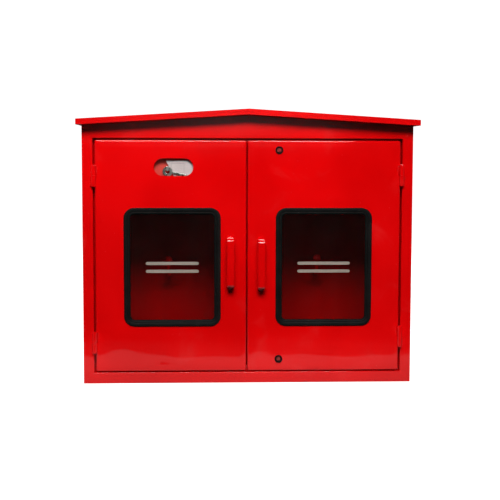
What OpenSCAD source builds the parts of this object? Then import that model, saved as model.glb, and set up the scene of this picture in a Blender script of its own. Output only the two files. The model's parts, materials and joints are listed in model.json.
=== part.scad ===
// Standpipe cabinet: double-door sheet-steel hose cabinet with a gabled canopy.
// Millimetres. Origin at the centre of the body's base, +Z up, the doors face -Y.

/* [Body] */

// Outer width of the cabinet body
body_w = 750; // [740:5:780]
// Outer depth of the cabinet body
body_d = 250; // [230:5:300]
// Height of the canopy's top surface at the eaves
eave_h = 601; // [598:1:620]
// Sheet steel thickness
sheet = 1.5; // [1.2:0.1:1.6]
// Width of the face frame beside the doors
border = 24; // [23:1:25]
// Height of the face frame below the doors
sill = 25; // [24:1:26]

/* [Canopy] */

// Rise of the ridge above the eaves
rise = 23.5; // [15:0.5:40]
// Canopy overhang past the face frame
roof_front = 35; // [25:1:45]
// Canopy overhang past each side
roof_side = 10; // [8:1:16]
// Depth of the folded fascia
lip_h = 13; // [11:1:16]

/* [Doors] */

// Centre of the gap where the two doors meet
meet_x = -3; // [-4:0.5:1]
// Clear gap beside and above the doors
gap = 4.5; // [4:0.25:5]
// Clear gap below the doors
low_gap = 3; // [2.5:0.25:3.5]
// Clear gap between the two doors
meet_gap = 2.5; // [2.5:0.25:3.5]
// Depth of the folded door pans
pan_d = 20; // [19:0.5:21]
// Height of the door opening's top edge
open_top = 559; // [557:1:561]
// Radius of the weld-on hinge barrels
hinge_r = 5; // [4.5:0.1:5.2]

/* [Windows] */

// Distance from the centre plane to each window's centre
win_x = 172.5; // [168:0.5:176]
// Height of the windows' centre
win_z = 266.5; // [262:0.5:272]
// Outer width of the rubber gasket
win_w = 220; // [212:1:224]
// Outer height of the rubber gasket
win_h = 271; // [262:1:276]
// Length of the film stripes on the glass
stripe_w = 120; // [100:5:130]
// Height of one film stripe
stripe_h = 7; // [5:1:10]
// Distance between the centres of the two film stripes
stripe_step = 18; // [15:1:24]

/* [Fittings] */

// Length of each pull handle
handle_l = 112; // [100:1:120]
// Handle standoff from the door face
handle_out = 28; // [22:1:32]
// Lock centres' distance to the right of the centre plane
lock_x = 70; // [60:1:80]
// Height of the hose hooks' knobs
knob_z = 270; // [255:1:285]

/* [Hidden] */

yf = -body_d / 2;
yb = body_d / 2;
hw = body_w / 2;
t = sheet;
eave_x = hw + roof_side;
ridge_z = eave_h + rise;
slope = rise / eave_x;
roof_y = yf - roof_front;
open_x = hw - border;
open_z = sill;
ret_y = -99;
stop_w = 12;
door_x = open_x - gap;
door_z0 = open_z + low_gap;
door_z1 = open_top - gap;
pan_y = yf + pan_d;
door_lip = 12;
bolt_lip = 30;
left_in = meet_x - meet_gap / 2;
right_in = meet_x + meet_gap / 2;
hinge_x = open_x - gap / 2;
hinge_y = yf - hinge_r - 0.4;
pin_r = 3;
run_r = 3.06;
lh_up = 474;
lh_low = 95;
rh_up = 476;
rh_low = 107;
slot_x = -169.1;
slot_z = 493.6;
slot_w = 88.5;
slot_h = 39.5;
box_w = 110;
box_h = 60;
lock_up_z = 532.5;
lock_low_z = 55;
bolt_x = left_in - 15.5;
bolt_y = -94;
handle_lx = -40.6;
handle_lz = 278;
handle_rx = 29.2;
handle_rz = 274;
hook_lx = -186;
hook_rx = 176;
hook_drop = 5;
hook_y = 60;
glass_in = 15;

// Underside height of the canopy sheet at a distance x from the ridge.
function under(x) = ridge_z - t - slope * abs(x);

// Points of an arc.
function arc(cx, cy, r, a0, a1, n) =
  [for (i = [0:n]) [cx + r * cos(a0 + (a1 - a0) * i / n), cy + r * sin(a0 + (a1 - a0) * i / n)]];

// Points of a rounded rectangle centred on the origin.
function rrect(w, h, r, n) = concat(
  arc(w / 2 - r, h / 2 - r, r, 0, 90, n),
  arc(r - w / 2, h / 2 - r, r, 90, 180, n),
  arc(r - w / 2, r - h / 2, r, 180, 270, n),
  arc(w / 2 - r, r - h / 2, r, 270, 360, n)
);

// A box from its two corners.
module box(x0, x1, y0, y1, z0, z1) {
  translate([x0, y0, z0]) cube([x1 - x0, y1 - y0, z1 - z0]);
}

// A profile drawn in X and Z, carried from y0 to y1.
module along_y(y0, y1) {
  translate([0, y1, 0]) rotate([90, 0, 0]) linear_extrude(height = y1 - y0) children();
}

// A profile drawn in Y and Z, carried from x0 to x1.
module along_x(x0, x1) {
  translate([x0, 0, 0]) rotate([90, 0, 90]) linear_extrude(height = x1 - x0) children();
}

// A round bar along Y.
module rod_y(x, z, r, y0, y1) {
  translate([x, y1, z]) rotate([90, 0, 0]) cylinder(r = r, h = y1 - y0);
}

// A frame of uniform section between two rectangles.
module ring_xz(x, z0, z1, inset) {
  difference() {
    translate([-x, z0]) square([2 * x, z1 - z0]);
    translate([inset - x, z0 + inset]) square([2 * (x - inset), z1 - z0 - 2 * inset]);
  }
}

// Outline of the cabinet's front and back under the canopy.
module gable() {
  polygon([[-hw, 0], [hw, 0], [hw, under(hw)], [0, under(0)], [-hw, under(hw)]]);
}

// ---------------------------------------------------------------- cabinet body

module back_panel() {
  color([0.8, 0.02, 0.02])
  difference() {
    along_y(yb - t, yb) gable();
    for (sx = [-1, 1]) for (z = [60, 540]) rod_y(sx * (hw - 50), z, 5.5, yb - t - 1, yb + 1);
  }
}

module side_panel(s) {
  union() {
    along_y(yf + t, yb - t)
      polygon([[s * hw, 0], [s * hw, under(hw)], [s * (hw - t), under(hw - t)], [s * (hw - t), 0]]);
    for (y = [yf + t, yb - 2 * t])
      box(min(s * (hw - t), s * (hw - 16)), max(s * (hw - t), s * (hw - 16)),
        y, y + t, t, under(hw - t) - 0.5);
  }
}

module left_side_panel() {
  color([0.8, 0.02, 0.02]) side_panel(-1);
}

module right_side_panel() {
  color([0.8, 0.02, 0.02]) side_panel(1);
}

module base_panel() {
  color([0.8, 0.02, 0.02])
  union() {
    box(t - hw, hw - t, yf + t, yb - t, 0, t);
    for (y = [yf + t, yb - 2 * t]) box(17 - hw, hw - 17, y, y + t, 0, 17);
  }
}

module front_frame() {
  color([0.82, 0.02, 0.02])
  union() {
    along_y(yf, yf + t)
      difference() {
        gable();
        translate([-open_x, open_z]) square([2 * open_x, open_top - open_z]);
      }
    along_y(yf, ret_y) ring_xz(open_x + t, open_z - t, open_top + t, t);
    along_y(ret_y - t, ret_y) ring_xz(open_x + t, open_z - t, open_top + t, stop_w + t);
  }
}

// Closed outline of the canopy down to a depth below its top surface.
module canopy_band(x, up, down) {
  polygon([
    [-x, ridge_z - slope * x - down], [-x, ridge_z - slope * x - up], [0, ridge_z - up],
    [x, ridge_z - slope * x - up], [x, ridge_z - slope * x - down], [0, ridge_z - down]
  ]);
}

module roof_canopy() {
  color([0.82, 0.02, 0.02])
  union() {
    along_y(roof_y, yb) canopy_band(eave_x, 0, t);
    along_y(roof_y, roof_y + t) canopy_band(eave_x, 0, lip_h);
    along_y(roof_y, roof_y + 9) canopy_band(eave_x, lip_h - t, lip_h);
    for (s = [-1, 1])
      box(min(s * eave_x, s * (eave_x - t)), max(s * eave_x, s * (eave_x - t)),
        roof_y, yb, eave_h - lip_h, eave_h - t / 2);
  }
}

module door_buffers() {
  color([0.05, 0.05, 0.05])
  for (x = [-300, -60, 45, 300]) for (z = [open_z + 7.5, open_top - 8])
    difference() {
      rod_y(x, z, 4, pan_y + 0.3, ret_y - t);
      rod_y(x, z, 1.4, pan_y - 1, pan_y + 1.8);
    }
}

module hook_plate(x, z) {
  difference() {
    along_y(yb - t - 3, yb - t) translate([x, z - 35]) polygon(rrect(60, 60, 8, 6));
    rod_y(x, z - 40, 5, yb - t - 4, yb);
  }
}

module left_hook_plate() {
  color([0.8, 0.02, 0.02]) hook_plate(hook_lx, knob_z - hook_drop);
}

module right_hook_plate() {
  color([0.8, 0.02, 0.02]) hook_plate(hook_rx, knob_z);
}

// Bar from the plate, quarter bend upwards, round knob.
module hose_hook(x, z) {
  union() {
    rod_y(x, z - 40, 5, hook_y + 18, yb - t);
    translate([x, hook_y + 18, z - 22]) rotate([90, 0, 90]) rotate([0, 0, 180])
      rotate_extrude(angle = 90) translate([18, 0]) circle(r = 5);
    translate([x, hook_y, z - 22]) cylinder(r = 5, h = 20);
    translate([x, hook_y, z]) sphere(r = 10);
  }
}

module left_hose_hook() {
  color([0.85, 0.02, 0.02]) hose_hook(hook_lx, knob_z - hook_drop);
}

module right_hose_hook() {
  color([0.85, 0.02, 0.02]) hose_hook(hook_rx, knob_z);
}

// ---------------------------------------------------------------- hinges

// Lower half of a weld-on hinge: rounded barrel, blind bore and the fillet to the frame.
module frame_barrel(s, z) {
  difference() {
    union() {
      translate([s * hinge_x, hinge_y, z - 25]) rotate_extrude()
        polygon([[0, 0], [3.4, 0], [4.6, 0.8], [hinge_r, 2.2], [hinge_r, 24.3], [0, 24.3]]);
      translate([s * hinge_x, hinge_y, z - 23])
        linear_extrude(height = 21)
          polygon([[s * 3, 1], [s * 4.4, -1.6], [s * 7.2, hinge_r + 0.4],
            [s * (gap / 2 + 0.1), hinge_r + 0.4]]);
    }
    translate([s * hinge_x, hinge_y, z - 20]) cylinder(r = pin_r, h = 30);
  }
}

// Upper half: turns on the pin with running clearance, welded to the door.
module door_barrel(s, z) {
  difference() {
    union() {
      translate([s * hinge_x, hinge_y, z + 0.9]) rotate_extrude()
        polygon([[0, 0], [hinge_r, 0], [hinge_r, 21.9], [4.6, 23.3], [3.4, 24.1], [0, 24.1]]);
      translate([s * hinge_x, hinge_y, z + 2])
        linear_extrude(height = 21)
          polygon([[-s * 3, 1], [-s * 4.4, -1.6], [-s * 7.2, hinge_r + 0.4],
            [-s * (gap / 2 + 0.7), hinge_r + 0.4]]);
    }
    translate([s * hinge_x, hinge_y, z - 5]) cylinder(r = run_r, h = 25);
  }
}

module hinge_pin(s, z) {
  translate([s * hinge_x, hinge_y, z - 20]) rotate_extrude()
    polygon([[0, 0], [pin_r, 0], [pin_r, 37.6], [pin_r - 0.8, 38.8], [0, 38.8]]);
}

module left_upper_frame_barrel() {
  color([0.8, 0.02, 0.02]) frame_barrel(-1, lh_up);
}

module left_lower_frame_barrel() {
  color([0.8, 0.02, 0.02]) frame_barrel(-1, lh_low);
}

module right_upper_frame_barrel() {
  color([0.8, 0.02, 0.02]) frame_barrel(1, rh_up);
}

module right_lower_frame_barrel() {
  color([0.8, 0.02, 0.02]) frame_barrel(1, rh_low);
}

module left_upper_door_barrel() {
  color([0.8, 0.02, 0.02]) door_barrel(-1, lh_up);
}

module left_lower_door_barrel() {
  color([0.8, 0.02, 0.02]) door_barrel(-1, lh_low);
}

module right_upper_door_barrel() {
  color([0.8, 0.02, 0.02]) door_barrel(1, rh_up);
}

module right_lower_door_barrel() {
  color([0.8, 0.02, 0.02]) door_barrel(1, rh_low);
}

module left_upper_hinge_pin() {
  color([0.6, 0.6, 0.62]) hinge_pin(-1, lh_up);
}

module left_lower_hinge_pin() {
  color([0.6, 0.6, 0.62]) hinge_pin(-1, lh_low);
}

module right_upper_hinge_pin() {
  color([0.6, 0.6, 0.62]) hinge_pin(1, rh_up);
}

module right_lower_hinge_pin() {
  color([0.6, 0.6, 0.62]) hinge_pin(1, rh_low);
}

module hinge_washers() {
  color([0.8, 0.02, 0.02])
  for (p = [[-1, lh_up], [-1, lh_low], [1, rh_up], [1, rh_low]])
    translate([p[0] * hinge_x, hinge_y, p[1] - 0.7])
      difference() {
        cylinder(r = 4.8, h = 1.5);
        translate([0, 0, -1]) cylinder(r = 3.05, h = 4);
      }
}

// ---------------------------------------------------------------- doors

// Folded sheet pan, open behind, with a lip turned in along each edge.
module door_pan(x0, x1, lip0, lip1) {
  difference() {
    box(x0, x1, yf, pan_y, door_z0, door_z1);
    box(x0 + t, x1 - t, yf + t, pan_y - t, door_z0 + t, door_z1 - t);
    box(x0 + lip0, x1 - lip1, pan_y - 2 * t, pan_y + 1, door_z0 + door_lip, door_z1 - door_lip);
  }
}

module window_hole(x) {
  along_y(yf - 1, yf + 3 * t)
    translate([x, win_z]) polygon(rrect(win_w - 14, win_h - 14, 17, 8));
}

// Channel gasket: one groove holds the sheet's edge, the other the glass.
module gasket(x) {
  difference() {
    along_y(yf - 3, yf + 8) translate([x, win_z])
      difference() {
        polygon(rrect(win_w, win_h, 24, 10));
        polygon(rrect(win_w - 2 * glass_in, win_h - 2 * glass_in, 9, 6));
      }
    along_y(yf, yf + t) translate([x, win_z])
      difference() {
        polygon(rrect(win_w + 4, win_h + 4, 21, 4));
        polygon(rrect(win_w - 14, win_h - 14, 17, 8));
      }
    along_y(yf + 1, yf + 5) translate([x, win_z]) polygon(rrect(win_w - 18, win_h - 18, 15, 6));
  }
}

module glass_sheet(x) {
  along_y(yf + 1, yf + 5) translate([x, win_z]) polygon(rrect(win_w - 18, win_h - 18, 15, 6));
}

// Two plain stripes of vinyl film on the front of the glass.
module film_stripes(x) {
  for (s = [-1, 1])
    along_y(yf + 0.6, yf + 1) translate([x, win_z + s * stripe_step / 2])
      polygon(rrect(stripe_w, stripe_h, stripe_h / 2, 8));
}

// Flat bar bent into a bridge, its feet welded to the door.
module pull_handle(x, z) {
  b = 8;
  y1 = yf - handle_out;
  l = handle_l / 2;
  union() {
    along_x(x - 8, x + 8)
      polygon(concat(
        [[yf, z - l]], arc(y1 + b, z - l + b, b, 270, 180, 6),
        arc(y1 + b, z + l - b, b, 180, 90, 6), [[yf, z + l]],
        [[yf, z + l - 4]], arc(y1 + b, z + l - b, b - 4, 90, 180, 6),
        arc(y1 + b, z - l + b, b - 4, 180, 270, 6), [[yf, z - l + 4]]
      ));
    along_x(x - 7, x + 7)
      polygon([[yf, z + l - 1], [yf - 4, z + l - 1], [yf - 3.4, z + l + 2.2], [yf, z + l + 4.5]]);
    along_x(x - 7, x + 7)
      polygon([[yf, z - l + 1], [yf - 3, z - l + 1], [yf - 2.4, z - l - 2], [yf, z - l - 3.4]]);
  }
}

module left_door_panel() {
  color([0.85, 0.02, 0.02])
  union() {
    difference() {
      door_pan(-door_x, left_in, door_lip, bolt_lip);
      window_hole(-win_x);
      along_y(yf - 1, yf + 3) translate([slot_x, slot_z])
        polygon(rrect(slot_w, slot_h, slot_h / 2, 12));
    }
    for (sx = [-1, 1]) for (sz = [-1, 1])
      rod_y(slot_x + sx * (box_w / 2 + 5), slot_z + sz * 18, 1.5, yf + t / 2, yf + 8);
  }
}

module right_door_panel() {
  color([0.85, 0.02, 0.02])
  difference() {
    door_pan(right_in, door_x, door_lip, door_lip);
    window_hole(win_x);
    for (z = [lock_low_z, lock_up_z]) rod_y(lock_x, z, 7.05, yf - 1, yf + 3);
  }
}

module left_window_gasket() {
  color([0.07, 0.07, 0.07]) gasket(-win_x);
}

module right_window_gasket() {
  color([0.07, 0.07, 0.07]) gasket(win_x);
}

module left_window_glass() {
  color([0.6, 0.7, 0.7, 0.35]) glass_sheet(-win_x);
}

module right_window_glass() {
  color([0.6, 0.7, 0.7, 0.35]) glass_sheet(win_x);
}

module left_film_stripes() {
  color([0.72, 0.72, 0.74]) film_stripes(-win_x);
}

module right_film_stripes() {
  color([0.72, 0.72, 0.74]) film_stripes(win_x);
}

module left_handle() {
  color([0.85, 0.02, 0.02]) pull_handle(handle_lx, handle_lz);
}

module right_handle() {
  color([0.85, 0.02, 0.02]) pull_handle(handle_rx, handle_rz);
}

// ---------------------------------------------------------------- key pocket

module key_pane() {
  color([0.8, 0.85, 0.85, 0.35])
  difference() {
    box(slot_x - box_w / 2 - 9, slot_x + box_w / 2 + 9, yf + t, yf + t + 2,
      slot_z - box_h / 2, slot_z + box_h / 2);
    for (sx = [-1, 1]) for (sz = [-1, 1])
      rod_y(slot_x + sx * (box_w / 2 + 5), slot_z + sz * 18, 1.7, yf, yf + 8);
  }
}

module key_box() {
  color([0.6, 0.1, 0.06])
  difference() {
    union() {
      box(slot_x - box_w / 2 - 9, slot_x + box_w / 2 + 9, yf + t + 2, yf + t + 3,
        slot_z - box_h / 2, slot_z + box_h / 2);
      box(slot_x - box_w / 2, slot_x + box_w / 2, yf + t + 2, yf + 19,
        slot_z - box_h / 2, slot_z + box_h / 2);
    }
    box(slot_x - box_w / 2 + 1, slot_x + box_w / 2 - 1, yf, yf + 18,
      slot_z - box_h / 2 + 1, slot_z + box_h / 2 - 1);
    for (sx = [-1, 1]) for (sz = [-1, 1])
      rod_y(slot_x + sx * (box_w / 2 + 5), slot_z + sz * 18, 1.7, yf, yf + 8);
  }
}

module key_box_nuts() {
  color([0.7, 0.7, 0.72])
  for (sx = [-1, 1]) for (sz = [-1, 1])
    translate([slot_x + sx * (box_w / 2 + 5), yf + t + 5, slot_z + sz * 18]) rotate([90, 0, 0])
      difference() {
        cylinder(r = 3.2, h = 2, $fn = 6);
        translate([0, 0, -1]) cylinder(r = 1.55, h = 4);
      }
}

module key_peg() {
  color([0.7, 0.7, 0.72])
  union() {
    rod_y(slot_x - 13.8, slot_z - 6.5, 1.6, yf + 5.4, yf + 18);
    rod_y(slot_x - 13.8, slot_z - 6.5, 2.6, yf + 4.6, yf + 5.4);
  }
}

// Round-bowed lever key hanging from the peg by its bow.
module emergency_key() {
  color([0.72, 0.7, 0.66])
  translate([slot_x - 13.8, 0, slot_z - 9.8])
    difference() {
      along_y(yf + 6, yf + 8.5)
        union() {
          circle(r = 11.5);
          rotate([0, 0, -12]) translate([10, -2.4]) square([34, 4.8]);
          rotate([0, 0, -12]) translate([33, -8]) square([4, 8]);
          rotate([0, 0, -12]) translate([39, -7]) square([4, 7]);
        }
      rod_y(0, 0, 5, yf + 4, yf + 10);
    }
}

module key_card() {
  color([0.85, 0.82, 0.8])
  along_y(yf + 10, yf + 10.4)
    translate([slot_x, slot_z])
      polygon([[-17.4, 14.9], [51, 14.9], [51, -29], [4.2, -29]]);
}

// ---------------------------------------------------------------- tower bolts

module bolt_bracket(z) {
  difference() {
    union() {
      box(bolt_x - 11, bolt_x + 11, pan_y, pan_y + t, z - 35, z + 35);
      for (d = [-25, 25]) box(bolt_x - 6.5, bolt_x + 6.5, pan_y, bolt_y + 6.5, z + d - 5, z + d + 5);
    }
    translate([bolt_x, bolt_y, z - 40]) cylinder(r = 4.06, h = 80);
  }
}

module bolt_rod(z0, z1, knob) {
  union() {
    translate([bolt_x, bolt_y, z0]) cylinder(r = 4, h = z1 - z0);
    rod_y(bolt_x, knob, 3, bolt_y, bolt_y + 18);
  }
}

module upper_bolt_bracket() {
  color([0.7, 0.7, 0.72]) bolt_bracket(500);
}

module lower_bolt_bracket() {
  color([0.7, 0.7, 0.72]) bolt_bracket(84);
}

module upper_bolt_rod() {
  color([0.7, 0.7, 0.72]) bolt_rod(445, open_top - stop_w - 3, 490);
}

module lower_bolt_rod() {
  color([0.7, 0.7, 0.72]) bolt_rod(open_z + stop_w + 3, 139, 94);
}

// ---------------------------------------------------------------- locks

module lock_housing(z) {
  difference() {
    union() {
      rod_y(lock_x, z, 9, yf - 2.5, yf);
      rod_y(lock_x, z, 7, yf - 1, yf + 27.8);
    }
    rod_y(lock_x, z, 6, yf - 3, yf + 3);
    rod_y(lock_x, z, 4.05, yf, yf + 30);
  }
}

module lock_nut(z) {
  difference() {
    translate([lock_x, yf + t + 4, z]) rotate([90, 0, 0]) cylinder(r = 11, h = 4, $fn = 6);
    rod_y(lock_x, z, 7.05, yf, yf + 8);
  }
}

// Square key post in front, journal through the housing, square tail for the cam.
module lock_spindle(z) {
  union() {
    box(lock_x - 3.2, lock_x + 3.2, yf - 1.8, yf + 2.5, z - 3.2, z + 3.2);
    rod_y(lock_x, z, 5, yf + 2, yf + 2.9);
    rod_y(lock_x, z, 4, yf + 2, yf + 28);
    box(lock_x - 2.5, lock_x + 2.5, yf + 27, yf + 30, z - 2.5, z + 2.5);
  }
}

// Flat cam, stored pointing along the door and turned behind the frame to lock.
module lock_cam(z) {
  difference() {
    along_y(yf + 28, yf + 30) translate([lock_x, z])
      polygon(concat(arc(0, 0, 7, 90, 270, 10), [[22, -6], [24, -4], [24, 4], [22, 6]]));
    box(lock_x - 2.5, lock_x + 2.5, yf + 27, yf + 31, z - 2.5, z + 2.5);
  }
}

module cam_screw(z) {
  translate([lock_x, yf + 33.5, z]) rotate([90, 0, 0])
    difference() {
      cylinder(r = 5.2, h = 3.5, $fn = 6);
      translate([0, 0, -1]) cylinder(r = 2, h = 2);
    }
}

module upper_lock_housing() {
  color([0.05, 0.05, 0.05]) lock_housing(lock_up_z);
}

module lower_lock_housing() {
  color([0.05, 0.05, 0.05]) lock_housing(lock_low_z);
}

module upper_lock_nut() {
  color([0.7, 0.7, 0.72]) lock_nut(lock_up_z);
}

module lower_lock_nut() {
  color([0.7, 0.7, 0.72]) lock_nut(lock_low_z);
}

module upper_lock_spindle() {
  color([0.65, 0.65, 0.67]) lock_spindle(lock_up_z);
}

module lower_lock_spindle() {
  color([0.65, 0.65, 0.67]) lock_spindle(lock_low_z);
}

module upper_lock_cam() {
  color([0.7, 0.7, 0.72]) lock_cam(lock_up_z);
}

module lower_lock_cam() {
  color([0.7, 0.7, 0.72]) lock_cam(lock_low_z);
}

module upper_cam_screw() {
  color([0.7, 0.7, 0.72]) cam_screw(lock_up_z);
}

module lower_cam_screw() {
  color([0.7, 0.7, 0.72]) cam_screw(lock_low_z);
}

back_panel();
left_side_panel();
right_side_panel();
base_panel();
front_frame();
roof_canopy();
door_buffers();
left_hook_plate();
right_hook_plate();
left_hose_hook();
right_hose_hook();
left_upper_frame_barrel();
left_lower_frame_barrel();
right_upper_frame_barrel();
right_lower_frame_barrel();
left_upper_hinge_pin();
left_lower_hinge_pin();
right_upper_hinge_pin();
right_lower_hinge_pin();
hinge_washers();
left_door_panel();
left_window_gasket();
left_window_glass();
left_film_stripes();
left_handle();
left_upper_door_barrel();
left_lower_door_barrel();
key_box();
key_pane();
key_box_nuts();
key_peg();
emergency_key();
key_card();
upper_bolt_bracket();
lower_bolt_bracket();
upper_bolt_rod();
lower_bolt_rod();
right_door_panel();
right_window_gasket();
right_window_glass();
right_film_stripes();
right_handle();
right_upper_door_barrel();
right_lower_door_barrel();
upper_lock_housing();
lower_lock_housing();
upper_lock_nut();
lower_lock_nut();
upper_lock_spindle();
lower_lock_spindle();
upper_lock_cam();
lower_lock_cam();
upper_cam_screw();
lower_cam_screw();
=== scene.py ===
# Standpipe cabinet: the visual model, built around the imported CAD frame.
import json
import math
import random

import bmesh
import bpy
from mathutils import Matrix, Vector, geometry, noise


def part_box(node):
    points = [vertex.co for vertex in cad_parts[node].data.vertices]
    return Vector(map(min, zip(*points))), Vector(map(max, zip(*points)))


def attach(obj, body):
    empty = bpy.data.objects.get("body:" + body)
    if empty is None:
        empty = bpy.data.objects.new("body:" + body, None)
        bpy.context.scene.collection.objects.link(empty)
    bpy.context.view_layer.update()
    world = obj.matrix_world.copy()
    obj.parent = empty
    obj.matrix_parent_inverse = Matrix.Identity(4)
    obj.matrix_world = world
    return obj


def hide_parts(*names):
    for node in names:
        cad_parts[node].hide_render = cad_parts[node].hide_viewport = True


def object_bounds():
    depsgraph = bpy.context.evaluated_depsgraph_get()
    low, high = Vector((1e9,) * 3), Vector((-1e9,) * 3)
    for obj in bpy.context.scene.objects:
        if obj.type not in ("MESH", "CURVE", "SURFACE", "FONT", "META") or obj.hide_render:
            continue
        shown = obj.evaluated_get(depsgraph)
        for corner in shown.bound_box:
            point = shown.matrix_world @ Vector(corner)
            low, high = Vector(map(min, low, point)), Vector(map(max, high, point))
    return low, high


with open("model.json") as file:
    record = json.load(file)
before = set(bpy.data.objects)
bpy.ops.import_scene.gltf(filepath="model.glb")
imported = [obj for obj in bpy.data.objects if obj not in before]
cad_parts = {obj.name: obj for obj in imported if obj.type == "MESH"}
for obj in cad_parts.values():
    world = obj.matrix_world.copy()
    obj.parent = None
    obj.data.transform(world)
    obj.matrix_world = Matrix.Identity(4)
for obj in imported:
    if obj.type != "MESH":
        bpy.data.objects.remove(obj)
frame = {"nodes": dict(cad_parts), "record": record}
NODES = frame["nodes"]
cad_low, cad_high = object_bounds()
scene = bpy.context.scene


# ------------------------------------------------------------------ node helpers

def new_material(name):
    m = bpy.data.materials.new(name)
    m.use_nodes = True
    t = m.node_tree
    t.nodes.clear()
    out = t.nodes.new("ShaderNodeOutputMaterial")
    return m, t, out


def add(t, kind, **props):
    n = t.nodes.new(kind)
    for k, v in props.items():
        setattr(n, k, v)
    return n


def link(t, a, b):
    t.links.new(a, b)


def noise_tex(t, coord, scale, detail=3.0, rough=0.5, distortion=0.0):
    n = add(t, "ShaderNodeTexNoise")
    n.inputs["Scale"].default_value = scale
    n.inputs["Detail"].default_value = detail
    n.inputs["Roughness"].default_value = rough
    n.inputs["Distortion"].default_value = distortion
    link(t, coord, n.inputs["Vector"])
    return n.outputs["Fac"]


def ramp(t, fac, stops, interp="LINEAR"):
    r = add(t, "ShaderNodeValToRGB")
    r.color_ramp.interpolation = interp
    el = r.color_ramp.elements
    while len(el) < len(stops):
        el.new(0.5)
    for e, (p, c) in zip(el, stops):
        e.position = p
        e.color = c if len(c) == 4 else (*c, 1.0)
    link(t, fac, r.inputs["Fac"])
    return r.outputs["Color"]


def grey(v):
    return (v, v, v, 1.0)


def mixc(t, fac, a, b):
    n = add(t, "ShaderNodeMix", data_type="RGBA", blend_type="MIX")
    for sock, v in ((n.inputs[0], fac), (n.inputs[6], a), (n.inputs[7], b)):
        if hasattr(v, "is_output"):
            link(t, v, sock)
        elif isinstance(v, (int, float)):
            sock.default_value = v
        else:
            sock.default_value = v if len(v) == 4 else (*v, 1.0)
    return n.outputs[2]


def mathn(t, op, a, b=None, clamp=False):
    n = add(t, "ShaderNodeMath", operation=op, use_clamp=clamp)
    for i, v in enumerate((a, b)):
        if v is None:
            continue
        if hasattr(v, "is_output"):
            link(t, v, n.inputs[i])
        else:
            n.inputs[i].default_value = v
    return n.outputs[0]


def bump(t, height, strength, distance, normal=None):
    n = add(t, "ShaderNodeBump")
    n.inputs["Strength"].default_value = strength
    n.inputs["Distance"].default_value = distance
    link(t, height, n.inputs["Height"])
    if normal is not None:
        link(t, normal, n.inputs["Normal"])
    return n.outputs["Normal"]


def coords(t):
    return add(t, "ShaderNodeTexCoord").outputs["Object"]


def principled(t, out, **values):
    p = add(t, "ShaderNodeBsdfPrincipled")
    for k, v in values.items():
        s = p.inputs[k.replace("_", " ")]
        if hasattr(v, "is_output"):
            link(t, v, s)
        else:
            s.default_value = v
    link(t, p.outputs["BSDF"], out.inputs["Surface"])
    return p


# ------------------------------------------------------------------ materials

def corner_mask(t, co, corners):
    """1 along the outer edges of the box whose centre, half size and reach are given."""
    mid, half, reach = corners
    axis = add(t, "ShaderNodeSeparateXYZ")
    link(t, co, axis.inputs[0])
    near = []
    for i, letter in enumerate("XYZ"):
        off = mathn(t, "ABSOLUTE", mathn(t, "SUBTRACT", axis.outputs[letter], mid[i]))
        near.append(mathn(t, "GREATER_THAN", off, half[i] - reach))
    total = mathn(t, "ADD", mathn(t, "ADD", near[0], near[1]), near[2])
    return mathn(t, "GREATER_THAN", total, 1.5)


def paint(name, base, rough=0.05, wave=0.06, peel=0.04, dust=0.08, worn=0.35, corners=None):
    """Gloss enamel over sheet steel: faint waves, orange peel, specks, handling marks and worn edges."""
    m, t, out = new_material(name)
    co = coords(t)
    big = noise_tex(t, co, 5.5, 2.0, 0.45)
    mid = noise_tex(t, co, 34.0, 3.0, 0.55)
    fine = noise_tex(t, co, 420.0, 2.0, 0.5)
    # slow drift of the film thickness, slightly deeper and slightly fresher red
    deep = tuple(c * 0.90 for c in base)
    fresh = (min(base[0] * 1.07, 1.0), base[1] * 1.2 + 0.0005, base[2] * 1.2 + 0.0005)
    col = mixc(t, ramp(t, big, [(0.36, grey(0)), (0.66, grey(1))]), deep, fresh)
    # dust nibs
    nib = ramp(t, noise_tex(t, co, 190.0, 1.0, 0.4), [(0.765, grey(0)), (0.80, grey(1))])
    col = mixc(t, mathn(t, "MULTIPLY", nib, 0.35), col, tuple(min(c + 0.06, 1.0) for c in base))
    # dusty handling marks
    patch = ramp(t, noise_tex(t, co, 11.0, 4.0, 0.6, 0.5), [(0.58, grey(0)), (0.80, grey(1))])
    col = mixc(t, mathn(t, "MULTIPLY", patch, dust), col, (0.72, 0.16, 0.15))
    # chipped paint along sharp edges only
    if corners:
        edge = corner_mask(t, co, corners)
    else:
        geo = add(t, "ShaderNodeNewGeometry")
        edge = ramp(t, geo.outputs["Pointiness"], [(0.56, grey(0)), (0.64, grey(1))])
    chip = ramp(t, noise_tex(t, co, 95.0, 4.0, 0.6), [(0.60, grey(0)), (0.66, grey(1))])
    worn_mask = mathn(t, "MULTIPLY", mathn(t, "MULTIPLY", edge, chip), worn)
    col = mixc(t, worn_mask, col, (0.30, 0.05, 0.045))
    r = mixc(t, mid, grey(rough * 0.75), grey(rough * 1.35))
    r = mixc(t, mathn(t, "MULTIPLY", patch, 0.35), r, grey(min(rough * 2.4, 0.6)))
    r = mixc(t, worn_mask, r, grey(0.55))
    n1 = bump(t, big, wave, 0.004)
    n2 = bump(t, mid, wave * 0.30, 0.0006, n1)
    n3 = bump(t, fine, peel, 0.00012, n2)
    n4 = bump(t, nib, 0.5, 0.0002, n3)
    principled(t, out, Base_Color=col, Roughness=r, Normal=n4, IOR=1.5)
    return m


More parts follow.
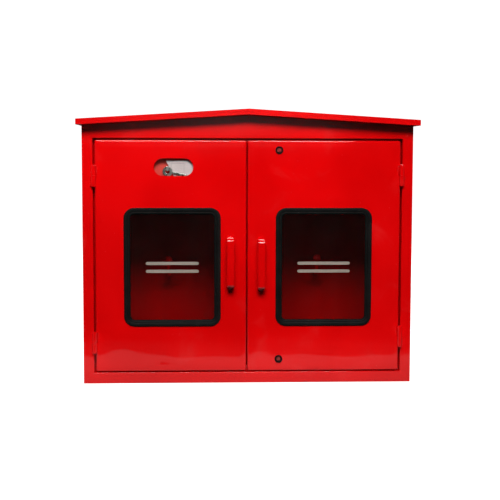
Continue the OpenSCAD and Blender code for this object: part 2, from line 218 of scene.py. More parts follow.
def rubber(name):
    """Extruded black rubber: fine skin grain, slight bloom and pale specks."""
    m, t, out = new_material(name)
    co = coords(t)
    bloom = noise_tex(t, co, 22.0, 5.0, 0.6, 0.8)
    grain = noise_tex(t, co, 900.0, 2.0, 0.5)
    clean, chalky = (0.0030, 0.0030, 0.0030), (0.0065, 0.0066, 0.0063)
    col = mixc(t, ramp(t, bloom, [(0.35, grey(0)), (0.72, grey(1))]), clean, chalky)
    speck = ramp(t, noise_tex(t, co, 310.0, 1.0, 0.5), [(0.73, grey(0)), (0.77, grey(1))])
    col = mixc(t, mathn(t, "MULTIPLY", speck, 0.3), col, (0.09, 0.08, 0.075))
    r = mixc(t, bloom, grey(0.46), grey(0.66))
    n = bump(t, grain, 0.25, 0.0002)
    n = bump(t, bloom, 0.15, 0.001, n)
    principled(t, out, Base_Color=col, Roughness=r, Normal=n, IOR=1.5, Specular_IOR_Level=0.07)
    return m


# How much of the light one glass face mirrors when looked at squarely
GLASS_MIRROR = 0.04


def glass(name, tint, haze, shade=(0.88, 0.90, 0.89)):
    """Thin glass with a film of dust and wipe marks: it mirrors, and shows what is straight behind it."""
    m, t, out = new_material(name)
    co = coords(t)
    wipe = noise_tex(t, co, 9.0, 5.0, 0.65, 2.2)
    streak = add(t, "ShaderNodeMapping")
    streak.inputs["Scale"].default_value = (60.0, 60.0, 6.0)
    link(t, co, streak.inputs["Vector"])
    fine = noise_tex(t, streak.outputs["Vector"], 1.0, 4.0, 0.6, 0.6)
    through = add(t, "ShaderNodeBsdfTransparent")
    through.inputs["Color"].default_value = (*tint, 1.0)
    mirror = add(t, "ShaderNodeBsdfAnisotropic")
    link(t, mixc(t, ramp(t, wipe, [(0.45, grey(0)), (0.75, grey(1))]), grey(0.015), grey(0.07)),
         mirror.inputs["Roughness"])
    facing = add(t, "ShaderNodeLayerWeight")
    slant = mathn(t, "MULTIPLY", mathn(t, "POWER", facing.outputs["Facing"], 5.0), 1.0 - GLASS_MIRROR)
    body = add(t, "ShaderNodeMixShader")
    link(t, mathn(t, "ADD", slant, GLASS_MIRROR), body.inputs[0])
    link(t, through.outputs[0], body.inputs[1])
    link(t, mirror.outputs[0], body.inputs[2])
    film = add(t, "ShaderNodeBsdfDiffuse")
    film.inputs["Color"].default_value = (0.42, 0.38, 0.34, 1.0)
    mask = mathn(t, "MULTIPLY", mathn(t, "MULTIPLY",
                 ramp(t, wipe, [(0.38, grey(0.25)), (0.8, grey(1))]),
                 ramp(t, fine, [(0.3, grey(0.4)), (0.8, grey(1))])), haze)
    dusty = add(t, "ShaderNodeMixShader")
    link(t, mask, dusty.inputs[0])
    link(t, body.outputs[0], dusty.inputs[1])
    link(t, film.outputs[0], dusty.inputs[2])
    clear = add(t, "ShaderNodeBsdfTransparent")
    clear.inputs["Color"].default_value = (*shade, 1.0)
    path = add(t, "ShaderNodeLightPath")
    final = add(t, "ShaderNodeMixShader")
    lighting = mathn(t, "MAXIMUM", path.outputs["Is Shadow Ray"], path.outputs["Is Diffuse Ray"])
    link(t, lighting, final.inputs[0])
    link(t, dusty.outputs[0], final.inputs[1])
    link(t, clear.outputs[0], final.inputs[2])
    link(t, final.outputs[0], out.inputs["Surface"])
    return m


def metal(name, base, rough, brushed=0.4, tarnish=(0.25, 0.22, 0.18), dirt=0.35):
    """Plated or turned metal with drawing marks and dulled handling stains."""
    m, t, out = new_material(name)
    co = coords(t)
    stain = noise_tex(t, co, 60.0, 5.0, 0.6, 0.6)
    lay = add(t, "ShaderNodeMapping")
    lay.inputs["Scale"].default_value = (1400.0, 1400.0, 120.0)
    link(t, co, lay.inputs["Vector"])
    marks = noise_tex(t, lay.outputs["Vector"], 1.0, 2.0, 0.5)
    mask = ramp(t, stain, [(0.48, grey(0)), (0.8, grey(1))])
    col = mixc(t, mathn(t, "MULTIPLY", mask, dirt), base, tarnish)
    r = mixc(t, marks, grey(rough * 0.7), grey(rough * 1.4))
    r = mixc(t, mathn(t, "MULTIPLY", mask, 0.7), r, grey(min(rough * 2.2, 0.8)))
    n = bump(t, marks, brushed, 0.00006)
    n = bump(t, stain, 0.2, 0.0003, n)
    principled(t, out, Base_Color=col, Roughness=r, Normal=n, Metallic=1.0)
    return m


def coated(name, base, rough, worn=(0.02, 0.012, 0.010)):
    """Black coated casting: fine pits, rubbed high spots, greasy fingermarks. With the lock post's colours,
    the body is a painted reflection of the red door and the lighter edges are a painted glint.
    """
    m, t, out = new_material(name)
    co = coords(t)
    pits = noise_tex(t, co, 650.0, 3.0, 0.6)
    smear = noise_tex(t, co, 75.0, 4.0, 0.6, 0.8)
    geo = add(t, "ShaderNodeNewGeometry")
    # Lighter colour on pointed edges: rubbed wear on the black casting, a painted glint on the lock post.
    edge = ramp(t, geo.outputs["Pointiness"], [(0.53, grey(0)), (0.62, grey(1))])
    col = mixc(t, mathn(t, "MULTIPLY", edge, 0.6), base, worn)
    r = mixc(t, ramp(t, smear, [(0.35, grey(0)), (0.7, grey(1))]), grey(rough * 0.7), grey(rough * 1.9))
    n = bump(t, pits, 0.25, 0.00015)
    n = bump(t, smear, 0.15, 0.0004, n)
    principled(t, out, Base_Color=col, Roughness=r, Normal=n, IOR=1.33, Specular_IOR_Level=0.15)
    return m


def vinyl(name):
    """Silver-grey film: faint vertical grain and scuffed spots."""
    m, t, out = new_material(name)
    co = coords(t)
    lay = add(t, "ShaderNodeMapping")
    lay.inputs["Scale"].default_value = (420.0, 420.0, 40.0)
    link(t, co, lay.inputs["Vector"])
    grain = noise_tex(t, lay.outputs["Vector"], 1.0, 3.0, 0.6)
    scuff = ramp(t, noise_tex(t, co, 85.0, 5.0, 0.65), [(0.55, grey(0)), (0.75, grey(1))])
    col = mixc(t, grain, (0.225, 0.178, 0.148), (0.355, 0.285, 0.240))
    col = mixc(t, mathn(t, "MULTIPLY", scuff, 0.35), col, (0.15, 0.14, 0.13))
    n = bump(t, grain, 0.3, 0.0001)
    principled(t, out, Base_Color=col, Roughness=0.5, Normal=n, IOR=1.45)
    return m


def card(name, middle, ruled):
    """Blank pale card in a clear sleeve: paper fibre, soft creases and a ruled border."""
    m, t, out = new_material(name)
    co = coords(t)
    fibre = noise_tex(t, co, 700.0, 4.0, 0.6)
    tone = noise_tex(t, co, 45.0, 3.0, 0.5)
    col = mixc(t, tone, (0.64, 0.50, 0.50), (0.80, 0.66, 0.66))
    col = mixc(t, mathn(t, "MULTIPLY", fibre, 0.25), col, (0.54, 0.42, 0.42))
    axis = add(t, "ShaderNodeSeparateXYZ")
    link(t, co, axis.inputs[0])

    def panel(grow):
        fac = 1.0
        for out_name, mid, half in (("X", middle[0], ruled[0]), ("Z", middle[1], ruled[1])):
            off = mathn(t, "ABSOLUTE", mathn(t, "SUBTRACT", axis.outputs[out_name], mid))
            fac = mathn(t, "MULTIPLY", mathn(t, "LESS_THAN", off, half + grow), fac)
        return fac

    line = mathn(t, "SUBTRACT", panel(0.0004), panel(-0.0004))
    col = mixc(t, mathn(t, "MULTIPLY", line, 0.55), col, (0.24, 0.17, 0.18))
    n = bump(t, fibre, 0.3, 0.00015)
    n = bump(t, tone, 0.3, 0.0012, n)
    principled(t, out, Base_Color=col, Roughness=0.42, Normal=n, IOR=1.45)
    return m


RED = (0.66, 0.0006, 0.0012)
MATS = {
    "paint": paint("red_enamel", RED),
    "pocket_paint": paint("pocket_primer", (0.76, 0.045, 0.030), rough=0.6, wave=0.2, dust=0.15),
    "rubber": rubber("black_rubber"),
    "window_glass": glass("window_glass_finish", (0.73, 0.71, 0.71), 0.008, (0.79, 0.77, 0.76)),
    "clear_pane": glass("pane_finish", (0.95, 0.96, 0.96), 0.004),
    "vinyl": vinyl("silver_vinyl"),
    "zinc_steel": metal("zinc_plate", (0.60, 0.60, 0.58), 0.30),
    "lock_black": coated("black_die_casting", (0.008, 0.0025, 0.0025), 0.38),
    "key_metal": metal("nickel_key", (0.68, 0.66, 0.61), 0.24, 0.2),
}
slot_mid = sum(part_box("key_pane"), Vector()) / 2
BODY_PAINT, ROOF_PAINT = [
    paint(name, RED, worn=0.6, corners=((low + high) / 2, (high - low) / 2, 0.0016))
    for name, (low, high) in (
        ("body_enamel", (Vector((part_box("back_panel")[0].x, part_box("front_frame")[0].y, 0.0)),
                         Vector((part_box("back_panel")[1].x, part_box("back_panel")[1].y, 1.0)))),
        ("roof_enamel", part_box("roof_canopy")))]
OWN_PAINT = {"roof_canopy": ROOF_PAINT}
for name in ("back_panel", "left_side_panel", "right_side_panel", "base_panel", "front_frame"):
    OWN_PAINT[name] = BODY_PAINT
# Lock post: the reddish brown is a painted reflection of the red door in the metal post, and the lighter
# pink on its edges is a painted glint.
LOCK_POST_PAINTED_REFLECTION = coated("lock_post_painted_reflection", (0.26, 0.035, 0.028), 0.34, (0.42, 0.15, 0.12))
MATS["card"] = card("blank_card", (slot_mid.x + 0.009, slot_mid.z - 0.002), (0.0145, 0.0105))
SLOT_OF = {s["node"]: s["material_slot"] for s in frame["record"]["subparts"]}

BEVEL = {"roof_canopy": 0.0007, "front_frame": 0.0007, "left_handle": 0.0012, "right_handle": 0.0012}
NO_BEVEL = ("film_stripes", "glass", "key_pane", "key_card")
for name, o in NODES.items():
    o.data.materials.clear()
    own = LOCK_POST_PAINTED_REFLECTION if name.endswith("lock_spindle") else OWN_PAINT.get(name)
    o.data.materials.append(own or MATS[SLOT_OF[name]])
    if "custom_normal" in o.data.attributes:
        o.data.attributes.remove(o.data.attributes["custom_normal"])
    o.data.polygons.foreach_set("use_smooth", [True] * len(o.data.polygons))
    w = o.modifiers.new("weld", "WELD")
    w.merge_threshold = 0.00002
    if not any(k in name for k in NO_BEVEL):
        b = o.modifiers.new("bevel", "BEVEL")
        b.width = BEVEL.get(name, 0.0005)
        b.segments = 3
        b.limit_method = "ANGLE"
        b.angle_limit = math.radians(28)
        b.use_clamp_overlap = True
        wn = o.modifiers.new("normals", "WEIGHTED_NORMAL")
        wn.mode = "FACE_AREA"
        wn.weight = 100
    else:
        b = o.modifiers.new("edges", "EDGE_SPLIT")
        b.split_angle = math.radians(28)

# ------------------------------------------------------------------ mesh helpers

MM = 0.001
SHEET = 1.5 * MM


def rounded_rect(x0, x1, z0, z1, r, n):
    """Outline of a rounded rectangle in X and Z, from the upper right corner, anticlockwise."""
    pts = []
    centres = ((x1 - r, z1 - r), (x0 + r, z1 - r), (x0 + r, z0 + r), (x1 - r, z0 + r))
    for corner, (cx, cz) in enumerate(centres):
        for i in range(n + 1):
            a = math.radians(90 * corner + 90 * i / n)
            pts.append((cx + r * math.cos(a), cz + r * math.sin(a)))
    return pts


def inside(pt, loop):
    """Whether a point lies within a closed outline."""
    x, y = pt
    hit = False
    for (xa, ya), (xb, yb) in zip(loop, loop[1:] + loop[:1]):
        if (ya > y) != (yb > y) and x < (xb - xa) * (y - ya) / (yb - ya) + xa:
            hit = not hit
    return hit


def ring_of(bm, pts, y):
    """Vertices along an outline, at one depth or at a depth worked out for each point."""
    return [bm.verts.new((x, y(x, z) if callable(y) else y, z)) for x, z in pts]


def bridge(bm, a, b):
    """Faces between two closed rings of equal length."""
    n = len(a)
    for i in range(n):
        bm.faces.new((a[i], a[(i + 1) % n], b[(i + 1) % n], b[i]))


def fill_sheet(bm, outer, holes, y, step):
    """Triangles between an outline and its holes, with inner points so the sheet can be uneven."""
    loops = [outer] + holes
    flat = [[(v.co.x, v.co.z) for v in loop] for loop in loops]
    verts = [v for loop in loops for v in loop]
    pts = [Vector(q) for loop in flat for q in loop]
    edges = []
    k = 0
    for loop in flat:
        m = len(loop)
        edges += [(k + i, k + (i + 1) % m) for i in range(m)]
        k += m
    xs, zs = [q[0] for q in flat[0]], [q[1] for q in flat[0]]
    nx, nz = int((max(xs) - min(xs)) / step), int((max(zs) - min(zs)) / step)
    for i in range(1, nx):
        for j in range(1, nz):
            q = (min(xs) + (max(xs) - min(xs)) * i / nx, min(zs) + (max(zs) - min(zs)) * j / nz)
            if not inside(q, flat[0]) or any(inside(q, h) for h in flat[1:]):
                continue
            if min((q[0] - a) ** 2 + (q[1] - b) ** 2 for loop in flat for a, b in loop) < (0.35 * step) ** 2:
                continue
            pts.append(Vector(q))
            verts.append(bm.verts.new((q[0], y(*q), q[1])))
    out = geometry.delaunay_2d_cdt(pts, edges, [], 0, 1e-7)
    co, faces, back = out[0], out[2], out[3]
    for f in faces:
        c = sum((co[i] for i in f), Vector((0, 0))) / len(f)
        if inside(c, flat[0]) and not any(inside(c, h) for h in flat[1:]):
            bm.faces.new([verts[back[i][0]] for i in f])


def piece(name, bm, body, mat, nodes=(), sharp=32):
    """Finished object that rides on a body and stands for the CAD nodes it replaces."""
    bmesh.ops.recalc_face_normals(bm, faces=bm.faces)
    me = bpy.data.meshes.new(name)
    bm.to_mesh(me)
    bm.free()
    me.materials.append(mat)
    me.polygons.foreach_set("use_smooth", [True] * len(me.polygons))
    me.set_sharp_from_angle(angle=math.radians(sharp))
    o = bpy.data.objects.new(name, me)
    scene.collection.objects.link(o)
    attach(o, body)
    if nodes:
        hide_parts(*nodes)
    return o


def lathe(bm, axis_pt, axis, profile, n=24):
    """Turned solid: profile is (distance along the axis, radius) from end to end."""
    axis = Vector(axis).normalized()
    side = axis.orthogonal().normalized()
    other = axis.cross(side)
    rings = []
    for d, r in profile:
        c = Vector(axis_pt) + axis * d
        if r < 1e-6:
            rings.append([bm.verts.new(c)])
        else:
            rings.append([bm.verts.new(c + (side * math.cos(2 * math.pi * i / n)
                                            + other * math.sin(2 * math.pi * i / n)) * r) for i in range(n)])
    for a, b in zip(rings, rings[1:]):
        if len(a) == 1 or len(b) == 1:
            tip, ring = (a[0], b) if len(a) == 1 else (b[0], a)
            for i in range(n):
                bm.faces.new((tip, ring[i], ring[(i + 1) % n]))
        else:
            bridge(bm, a, b)


def uneven(x, z, seed, size):
    """How far rolled sheet strays from flat after folding and welding."""
    v = noise.noise(Vector((x * 6.5, z * 5.5, seed)))
    v += 0.45 * noise.noise(Vector((x * 15.0, z * 12.0, seed + 9.0)))
    return v * size


# ------------------------------------------------------------------ doors

def door_pan(name, node, body, seed, dent, holes, lips, studs=()):
    """Folded door pan with true bends, sheet thickness, cut-outs and slightly uneven sheet.

    dent tips the sheet to and fro above its lower edge, and the floor's reflection waves with it.
    """
    low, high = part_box(node)
    front = low.y
    back = front + 20 * MM
    bend, inner, corner = 2.8 * MM, 1.3 * MM, 4.2 * MM

    def calm(x, z):
        d = min(x - low.x, high.x - x, z - low.z, high.z - z)
        for h in holes:
            d = min(d, math.sqrt(min((x - a) ** 2 + (z - b) ** 2 for a, b in h)))
        return max(0.0, min(1.0, (d - 3 * MM) / (22 * MM)))

    def rise(x, z):
        h = (z - low.z - 44 * MM) / (30 * MM)
        tilt = noise.noise(Vector((x * 5.0, seed * 1.3, 2.0)))
        tilt += 0.7 * noise.noise(Vector((x * 16.0, seed, 7.0)))
        low_dent = dent * tilt * h * math.exp(-0.6 * h * h)
        return (uneven(x, z, seed, 0.34 * MM) + low_dent) * calm(x, z)

    bm = bmesh.new()

    def ring(inset, y, lip=0.0):
        l, r, b, t = (inset + (q - inset) * lip for q in lips)
        rad = max(corner - inset, 0.35 * MM)
        return ring_of(bm, rounded_rect(low.x + l, high.x - r, low.z + b, high.z - t, rad, 4), y)

    rings = []
    for i in range(7):
        a = math.radians(15 * i)
        rings.append(ring(bend * (1 - math.sin(a)), front + bend * (1 - math.cos(a))))
    for i in range(7):
        a = math.radians(15 * i)
        rings.append(ring(bend * (1 - math.cos(a)), back - bend * (1 - math.sin(a))))
    rings.append(ring(bend, back, 0.985))
    rings.append(ring(bend, back - 0.3 * MM, 1.0))
    rings.append(ring(bend, back - SHEET + 0.3 * MM, 1.0))
    rings.append(ring(bend, back - SHEET, 0.985))
    for i in range(5):
        a = math.radians(22.5 * i)
        rings.append(ring(SHEET + inner * (1 - math.sin(a)), back - SHEET - inner * (1 - math.cos(a))))
    for i in range(5):
        a = math.radians(22.5 * i)
        rings.append(ring(SHEET + inner * (1 - math.cos(a)), front + SHEET + inner * (1 - math.sin(a))))
    for a, b in zip(rings, rings[1:]):
        bridge(bm, a, b)
    fronts, backs = [], []
    for h in holes:
        cx, cz = sum(q[0] for q in h) / len(h), sum(q[1] for q in h) / len(h)

        def grown(by, h=h, cx=cx, cz=cz):
            return [(x + by * math.copysign(1, x - cx), z + by * math.copysign(1, z - cz)) for x, z in h]

        a = ring_of(bm, grown(0.45 * MM), front)
        b = ring_of(bm, h, front + 0.45 * MM)
        c = ring_of(bm, h, front + SHEET - 0.2 * MM)
        d = ring_of(bm, grown(0.2 * MM), front + SHEET)
        for u, v in ((a, b), (b, c), (c, d)):
            bridge(bm, u, v)
        fronts.append(a)
        backs.append(d)
    fill_sheet(bm, rings[0], fronts, lambda x, z: front + rise(x, z), 13 * MM)
    fill_sheet(bm, rings[-1], backs, lambda x, z: front + SHEET + rise(x, z), 26 * MM)
    for x, z in studs:
        lathe(bm, (x, front + 0.9 * MM, z), (0, 1, 0),
              [(0, 1.5 * MM), (6.7 * MM, 1.5 * MM), (7.1 * MM, 1.1 * MM), (7.1 * MM, 0)], 16)
    return piece(name, bm, body, MATS["paint"], (node,), 30)


# Corner radius of the window rubber's outer edge, in millimetres
GASKET_CORNER = 24.0


def gasket(name, node, body):
    """Two-lipped window rubber: a bead over the sheet, a groove, and a lip down on to the glass."""
    low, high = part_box(node)
    sheet_y = low.y + 3 * MM
    profile = [(0.0, 0.0), (0.0, -1.3), (0.25, -2.0), (0.8, -2.55), (1.8, -2.9), (3.4, -3.0), (5.6, -2.95),
               (7.4, -2.7), (8.5, -2.2), (9.1, -1.55), (9.6, -1.45), (10.1, -1.9), (10.9, -2.1),
               (12.2, -1.75), (13.6, -0.8), (14.6, 0.2), (15.0, 0.95), (14.8, 1.0), (9.0, 1.0),
               (9.0, 5.0), (15.0, 5.0),
               (15.0, 5.5), (14.3, 6.7), (12.5, 7.8), (11.0, 8.0), (2.5, 8.0), (1.0, 7.6), (0.3, 6.9),
               (0.0, 5.8), (0.0, 1.5), (7.0, 1.5), (7.0, 0.0)]
    bm = bmesh.new()
    rings = []
    for u, y in profile:
        r = (GASKET_CORNER - u) * MM
        u *= MM
        rings.append(ring_of(bm, rounded_rect(low.x + u, high.x - u, low.z + u, high.z - u, r, 12),
                             sheet_y + y * MM))
    for a, b in zip(rings, rings[1:] + rings[:1]):
        bridge(bm, a, b)
    return piece(name, bm, body, MATS["rubber"], (node,), 40)


def window_cut(node):
    """Hole in the door under the window rubber, seven millimetres in from its outer edge."""
    low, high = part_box(node)
    d = 7 * MM
    return rounded_rect(low.x + d, high.x - d, low.z + d, high.z - d, (GASKET_CORNER - 7) * MM, 10)


def round_hole(x, z, r, n):
    turns = [2 * math.pi * i / n for i in range(n)]
    return [(x + r * math.cos(a), z + r * math.sin(a)) for a in turns]


# Half width and half height of the key window, and the radius of a lock's hole
KEY_HALF_W, KEY_HALF_H = 44.25 * MM, 19.75 * MM
LOCK_HOLE = 7.05 * MM
# Depth of the folded lips, and of the deeper one that carries the tower bolts
LIP, BOLT_LIP = 12 * MM, 30 * MM
slot_hole = rounded_rect(slot_mid.x - KEY_HALF_W, slot_mid.x + KEY_HALF_W, slot_mid.z - KEY_HALF_H,
                         slot_mid.z + KEY_HALF_H, KEY_HALF_H - 0.01 * MM, 14)
lock_mids = [sum(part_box(n), Vector()) / 2 for n in ("upper_lock_housing", "lower_lock_housing")]
lock_holes = [round_hole(c.x, c.z, LOCK_HOLE, 28) for c in lock_mids]
studs = [(slot_mid.x + sx * 60 * MM, slot_mid.z + sz * 18 * MM) for sx in (-1, 1) for sz in (-1, 1)]
door_pan("left_door_skin", "left_door_panel", "left_door", 3.1, 1.3 * MM,
         [window_cut("left_window_gasket"), slot_hole], (LIP, BOLT_LIP, LIP, LIP), studs)
door_pan("right_door_skin", "right_door_panel", "right_door", 17.7, -2.2 * MM,
         [window_cut("right_window_gasket")] + lock_holes, (LIP, LIP, LIP, LIP))


def back_sheet():
    """Back panel with its wall-bolt holes: sheet that lies slightly uneven between the welds."""
    low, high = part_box("back_panel")
    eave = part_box("left_side_panel")[1].z - 0.1 * MM
    soft = 0.5 * MM

    def outline(inset):
        return [(high.x - inset, eave - inset), (0.0, high.z - inset), (low.x + inset, eave - inset),
                (low.x + inset, low.z + inset), (high.x - inset, low.z + inset)]

    bolts = [round_hole(sx * (high.x - 50 * MM), z * MM, 5.5 * MM, 24)
             for sx in (-1, 1) for z in (60, 540)]

    def dent(x, z):
        d = min(x - low.x, high.x - x, z - low.z, eave - z)
        return uneven(x, z, 41.0, 0.45 * MM) * max(0.0, min(1.0, (d - 16 * MM) / (60 * MM)))

    bm = bmesh.new()
    edge = ((soft, low.y), (0.0, low.y + 0.3 * soft), (0.0, high.y - soft),
            (0.3 * soft, high.y - 0.3 * soft), (soft, high.y))
    layers = [ring_of(bm, outline(inset), y) for inset, y in edge]
    for a, b in zip(layers, layers[1:]):
        bridge(bm, a, b)
    inner, outer = [], []
    for h in bolts:
        cx, cz = sum(q[0] for q in h) / len(h), sum(q[1] for q in h) / len(h)
        wide = [(cx + (x - cx) * 1.07, cz + (z - cz) * 1.07) for x, z in h]
        loops = [ring_of(bm, wide, high.y), ring_of(bm, h, high.y - 0.4 * MM),
                 ring_of(bm, h, low.y + 0.3 * MM), ring_of(bm, wide, low.y)]
        for a, b in zip(loops, loops[1:]):
            bridge(bm, a, b)
        outer.append(loops[0])
        inner.append(loops[3])
    fill_sheet(bm, layers[0], inner, lambda x, z: low.y + dent(x, z), 30 * MM)
    fill_sheet(bm, layers[-1], outer, lambda x, z: high.y + dent(x, z), 22 * MM)
    return piece("back_sheet", bm, "cabinet", BODY_PAINT, ("back_panel",), 30)


back_sheet()
gasket("left_window_rubber", "left_window_gasket", "left_door")
gasket("right_window_rubber", "right_window_gasket", "right_door")

# ------------------------------------------------------------------ welds

def lump(bm, at, size, seed):
    """One cooled drop of weld metal, pressed on to the sheet."""
    made = bmesh.ops.create_icosphere(bm, subdivisions=2, radius=1.0)["verts"]
    for v in made:
        k = 1.0 + 0.22 * noise.noise(v.co * 1.7 + Vector((seed, seed * 0.37, 0.0)))
        v.co = Vector(at) + Vector((v.co.x * size[0], v.co.y * size[1], v.co.z * size[2])) * k


def bead(bm, x, y, z0, z1, width, pick):
    """Overlapping drops laid in a vertical run."""
    z = z0
    while z < z1:
        w = width * pick.uniform(0.85, 1.2)
        lump(bm, (x + pick.uniform(-0.2, 0.2) * MM, y, z), (w, w * 0.62, w * 0.8), pick.uniform(0, 50))
        z += w * pick.uniform(0.85, 1.1)


def spatter(bm, x, y, z, spread, count, pick):
    """Small stray drops scattered beside a weld."""
    for _ in range(count):
        r = pick.uniform(0.5, 1.15) * MM
        lump(bm, (x + pick.uniform(-1, 1) * spread[0], y, z + pick.uniform(-1, 1) * spread[1]),
             (r, r * 0.7, r), pick.uniform(0, 50))


def hinge_welds(barrels, seed):
    """A bead down the edge of each hinge half, with stray drops beside it."""
    pick = random.Random(seed)
    bm = bmesh.new()
    for node in barrels:
        low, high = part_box(node)
        outer = "frame" in node
        left = node.startswith("left")
        x = low.x if outer == left else high.x
        away = -1 if outer == left else 1
        bead(bm, x - away * 0.8 * MM, cad_face + 0.1 * MM, low.z + 3 * MM, high.z - 3 * MM, 1.7 * MM, pick)
        spatter(bm, x + away * 3.0 * MM, cad_face, (low.z + high.z) / 2, (2.6 * MM, 11 * MM), 4, pick)
    return bm


def handle_welds(bm, node, seed):
    """Lumpy welds round the upper and the lower foot of a handle."""
    pick = random.Random(seed)
    low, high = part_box(node)
    x = (low.x + high.x) / 2
    for dx, dz, r in ((-3.2, -1.6, 2.6), (0.4, 0.4, 3.3), (3.6, -1.8, 2.4), (-0.6, -2.8, 2.8)):
        lump(bm, (x + dx * MM, cad_face + 0.2 * MM, high.z + dz * MM), (r * MM, r * 0.8 * MM, r * MM),
             pick.uniform(0, 50))
    for dx, dz, r in ((-3.4, 1.2, 2.2), (0.2, 0.3, 2.5), (3.2, 1.4, 2.2)):
        lump(bm, (x + dx * MM, cad_face + 0.2 * MM, low.z + dz * MM), (r * MM, r * 0.7 * MM, r * MM),
             pick.uniform(0, 50))


cad_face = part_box("left_door_panel")[0].y
sides = ("left", "right")
heights = ("upper", "lower")
frame_barrels = [f"{side}_{height}_frame_barrel" for side in sides for height in heights]
piece("frame_hinge_welds", hinge_welds(frame_barrels, 21), "cabinet", MATS["paint"])
for side in sides:
    bm = hinge_welds([f"{side}_{height}_door_barrel" for height in heights], 34 + len(side))
    handle_welds(bm, f"{side}_handle", 55 + len(side))
    piece(f"{side}_door_welds", bm, f"{side}_door", MATS["paint"])

# ------------------------------------------------------------------ card behind the key

def card_sheet():
    """Thin card with its lower corner creased forward."""
    low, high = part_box("key_card")
    mid = (low.y + high.y) / 2
    cx, cz = slot_mid.x, slot_mid.z
    crease_a, crease_b = Vector((51.0, 3.5)), Vector((7.9, -29.0))
    along = (crease_b - crease_a).normalized()
    outline = [(-17.4, 14.9), (51.0, 14.9), (51.0, 3.5), (51.0, -29.0), (7.9, -29.0), (4.2, -29.0)]
    bm = bmesh.new()

    def y_at(x, z):
        d = Vector((x, z)) - crease_a
        off = along.x * d.y - along.y * d.x
        return mid - 0.12 * max(0.0, off) * MM + 0.25 * MM * noise.noise(Vector((x * 0.07, z * 0.07, 4.0)))

    sides_of = []
    for dy in (-0.18, 0.18):
        rows = []
        for x, z in outline:
            rows.append(bm.verts.new((cx + x * MM, y_at(x, z) + dy * MM, cz + z * MM)))
        bm.faces.new([rows[i] for i in (0, 1, 2, 4, 5)])
        bm.faces.new([rows[i] for i in (2, 3, 4)])
        sides_of.append(rows)
    bridge(bm, sides_of[0], sides_of[1])
    return piece("key_card_sheet", bm, "left_door", MATS["card"], ("key_card",), 3)


card_sheet()

# ------------------------------------------------------------------ camera

def camera():
    """The photograph's view: just left of centre, a little below the eaves, slightly down."""
    pitch, yaw, roll = math.radians(4.866), math.radians(2.603), math.radians(0.152)
    fwd = Vector((math.sin(yaw) * math.cos(pitch), math.cos(yaw) * math.cos(pitch), -math.sin(pitch)))
    right = Vector((math.cos(yaw), -math.sin(yaw), 0.0))
    up = right.cross(fwd)
    r2 = right * math.cos(roll) + up * math.sin(roll)
    u2 = up * math.cos(roll) - right * math.sin(roll)
    m = Matrix((r2, u2, -fwd)).transposed().to_4x4()
    m.translation = Vector((-0.1106, -2.6465, 0.5209))
    data = bpy.data.cameras.new("camera")
    data.sensor_width = 36.0
    data.lens = 80.1
    data.clip_start = 0.01
    cam = bpy.data.objects.new("camera", data)
    cam.matrix_world = m
    scene.collection.objects.link(cam)
    scene.camera = cam


camera()

# ------------------------------------------------------------------ stage and light

def plain(name, colour, emit):
    """Matt surface that also glows, so the backdrop stays evenly pale."""
    m, t, out = new_material(name)
    p = principled(t, out, Base_Color=(*colour, 1.0), Roughness=0.9)
    p.inputs["Emission Color"].default_value = (1.0, 1.0, 1.0, 1.0)
    p.inputs["Emission Strength"].default_value = emit
    return m


def stage_mesh(name, verts, faces, mat, camera=True, diffuse=True, glossy=True, shadow=True):
    """Part of the studio, seen only by the kinds of ray that are asked for."""
    me = bpy.data.meshes.new(name)
    me.from_pydata(verts, [], faces)
    me.materials.append(mat)
    for p in me.polygons:
        p.use_smooth = True
    o = bpy.data.objects.new(name, me)
    scene.collection.objects.link(o)
    o.visible_camera = camera
    o.visible_diffuse = diffuse
    o.visible_glossy = glossy
    o.visible_transmission = glossy
    o.visible_shadow = shadow
    return o


def cyclorama():
    """Pale floor that turns up into a backdrop all round, far behind whichever way the camera looks."""
    radius, bend, top = 9.0, 3.0, 9.0
    profile = [(0.0, 0.0), (1.0, 0.0), (2.5, 0.0), (4.0, 0.0), (radius - bend, 0.0)]
    profile += [(radius - bend + bend * math.sin(a), bend * (1 - math.cos(a)))
                for a in [math.radians(x) for x in range(10, 91, 10)]]
    profile += [(radius, top)]
    n = 96
    verts, faces = [(0.0, 0.0, -0.0006)], []
    for r, z in profile[1:]:
        verts += [(r * math.cos(2 * math.pi * i / n), r * math.sin(2 * math.pi * i / n), z - 0.0006)
                  for i in range(n)]
    for i in range(n):
        faces.append((0, 1 + i, 1 + (i + 1) % n))
    for k in range(len(profile) - 2):
        a = 1 + k * n
        for i in range(n):
            faces.append((a + i, a + n + i, a + n + (i + 1) % n, a + (i + 1) % n))
    stage_mesh("stage_floor", verts, faces, plain("stage_white", (0.30, 0.30, 0.302), 1.11),
               diffuse=False, glossy=False)


cyclorama()


def floor_glow():
    """The lit floor as the paint mirrors it: even in front, fading away beside and behind."""
    m, t, out = new_material("stage_floor_glow")
    co = coords(t)
    axis = add(t, "ShaderNodeSeparateXYZ")
    link(t, co, axis.inputs[0])
    aside = mathn(t, "SUBTRACT", mathn(t, "ABSOLUTE", axis.outputs["X"]), 0.45)
    behind = mathn(t, "SUBTRACT", axis.outputs["Y"], 0.20)
    fade = ramp(t, mathn(t, "MAXIMUM", aside, behind),
                [(0.0, grey(1.0)), (0.35, grey(0.42)), (1.0, grey(0.0))], "EASE")
    y0, y1, x1 = cad_low.y - 0.318, 1.5, 1.6
    ahead = mathn(t, "DIVIDE", mathn(t, "SUBTRACT", axis.outputs["Y"], y0), 0.018, clamp=True)
    glow = add(t, "ShaderNodeEmission")
    link(t, mathn(t, "MULTIPLY", mathn(t, "MULTIPLY", fade, ahead), 0.45), glow.inputs["Strength"])
    link(t, glow.outputs[0], out.inputs["Surface"])
    stage_mesh("stage_glow_floor", [(-x1, y0, 0.0), (x1, y0, 0.0), (x1, y1, 0.0), (-x1, y1, 0.0)],
               [(0, 1, 2, 3)], m, camera=False, diffuse=False, shadow=False)


floor_glow()


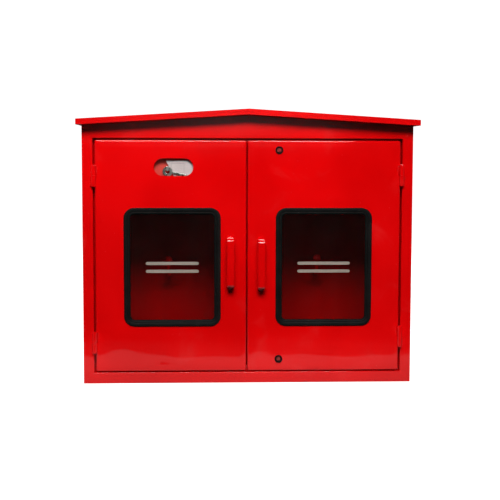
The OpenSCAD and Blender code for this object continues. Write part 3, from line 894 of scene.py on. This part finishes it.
def haze_panel():
    """Dim glow behind the camera, seen only as the soft sheen near the top of the paint."""
    m, t, out = new_material("stage_glow")
    co = coords(t)
    axis = add(t, "ShaderNodeSeparateXYZ")
    link(t, co, axis.inputs[0])
    across = ramp(t, mathn(t, "ABSOLUTE", mathn(t, "SUBTRACT", axis.outputs["X"], 0.05)),
                  [(0.0, grey(1.0)), (0.45, grey(0.5)), (0.95, grey(0.10))], "EASE")
    height = ramp(t, axis.outputs["Z"],
                  [(0.46, grey(0.0)), (0.60, grey(0.22)), (0.68, grey(1.0)), (0.80, grey(0.45))])
    glow = add(t, "ShaderNodeEmission")
    link(t, mathn(t, "MULTIPLY", mathn(t, "MULTIPLY", across, height), 0.42), glow.inputs["Strength"])
    link(t, glow.outputs[0], out.inputs["Surface"])
    stage_mesh("stage_glow", [(-2.6, -4.2, 0.3), (2.6, -4.2, 0.3), (2.6, -4.2, 1.6), (-2.6, -4.2, 1.6)],
               [(0, 1, 2, 3)], m, camera=False, diffuse=False, shadow=False)


haze_panel()


def sheen_wall():
    """Dim wall behind and beside the object, seen only as a soft sheen on its sides, back and roof."""
    m, t, out = new_material("stage_sheen")
    co = coords(t)
    axis = add(t, "ShaderNodeSeparateXYZ")
    link(t, co, axis.inputs[0])
    height = ramp(t, mathn(t, "DIVIDE", axis.outputs["Z"], 5.0),
                  [(0.0, grey(0.10)), (0.12, grey(0.35)), (0.4, grey(1.0)), (1.0, grey(0.35))])
    glow = add(t, "ShaderNodeEmission")
    link(t, mathn(t, "MULTIPLY", height, 0.42), glow.inputs["Strength"])
    link(t, glow.outputs[0], out.inputs["Surface"])
    n, radius = 28, 6.0
    turn = [math.radians(-25 + 230 * i / n) for i in range(n + 1)]
    verts = [(radius * math.cos(a), radius * math.sin(a), z) for z in (0.0, 5.0) for a in turn]
    faces = [(i, i + 1, n + 2 + i, n + 1 + i) for i in range(n)]
    stage_mesh("stage_sheen", verts, faces, m, camera=False, diffuse=False, shadow=False)


sheen_wall()


def area(name, loc, target, size, power, size_y=None, spread=180.0, mirror=True):
    """Soft rectangular light. With mirror off it lights the paint and is not reflected in it."""
    d = bpy.data.lights.new(name, "AREA")
    d.shape = "RECTANGLE"
    d.size = size
    d.size_y = size_y or size
    d.energy = power
    d.spread = math.radians(spread)
    o = bpy.data.objects.new(name, d)
    o.location = loc
    o.rotation_euler = (Vector(target) - Vector(loc)).to_track_quat("-Z", "Y").to_euler()
    o.visible_glossy = mirror
    scene.collection.objects.link(o)
    return o


area("key", (-0.06, -2.24, 1.99), (0.0, -0.125, 0.42), 1.36, 88.0, 0.88)
area("low_fill", (0.0, -0.42, 0.015), (0.0, -0.125, 0.03), 1.0, 0.14, 0.06, spread=60.0, mirror=False)
area("top_accent", (-0.03, -1.25, 1.32), (-0.03, -0.125, 0.575), 0.22, 0.38, 0.10, spread=50.0, mirror=False)
area("fill_front", (0.3, -3.4, 1.1), (0.0, 0.0, 0.3), 1.6, 1.2, mirror=False)
area("back_left", (-1.9, 2.6, 1.9), (0.0, 0.1, 0.3), 1.5, 95.0, mirror=False)
area("back_right", (2.2, 2.3, 1.5), (0.0, 0.1, 0.3), 1.5, 75.0, mirror=False)
area("side_left", (-3.0, 0.1, 1.3), (0.0, 0.05, 0.3), 1.2, 42.0, mirror=False)
area("side_right", (3.0, 0.1, 1.3), (0.0, 0.05, 0.3), 1.2, 42.0, mirror=False)
world = bpy.data.worlds.new("world")
world.use_nodes = True
world.node_tree.nodes["Background"].inputs[0].default_value = (1.0, 1.0, 1.0, 1.0)
world.node_tree.nodes["Background"].inputs[1].default_value = 0.009
scene.world = world
scene.view_settings.view_transform = "Standard"
